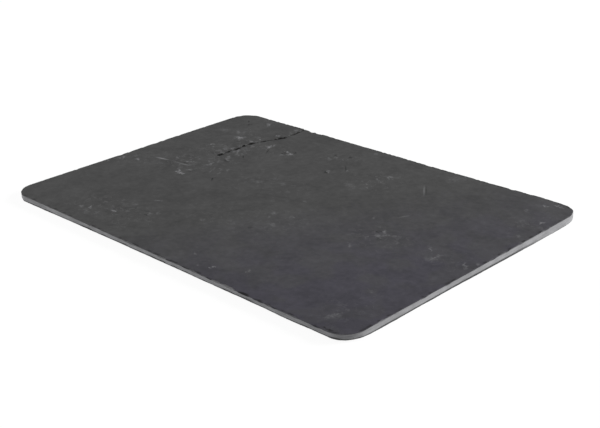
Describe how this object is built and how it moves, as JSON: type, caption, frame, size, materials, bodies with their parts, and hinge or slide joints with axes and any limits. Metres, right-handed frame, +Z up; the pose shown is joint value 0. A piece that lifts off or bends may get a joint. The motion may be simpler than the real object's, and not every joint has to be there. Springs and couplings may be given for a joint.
{
  "type": "slate slab",
  "caption": "Thin rectangular slab of natural cleft slate with rounded corners and chipped edges, lying flat as a board, tile or coping piece.",
  "frame": {"origin": "middle of the flat underside", "axes": "+Z up through the thickness, +X along the long sides, +Y along the short sides, away from the chipped long side"},
  "size_m": [0.35, 0.248, 0.0056],
  "materials": {
    "slate": "riven and dull, unpolished, with paler cut and chipped edges"
  },
  "bodies": {
    "root": {"slab": "slate"}
  },
  "joints": []
}
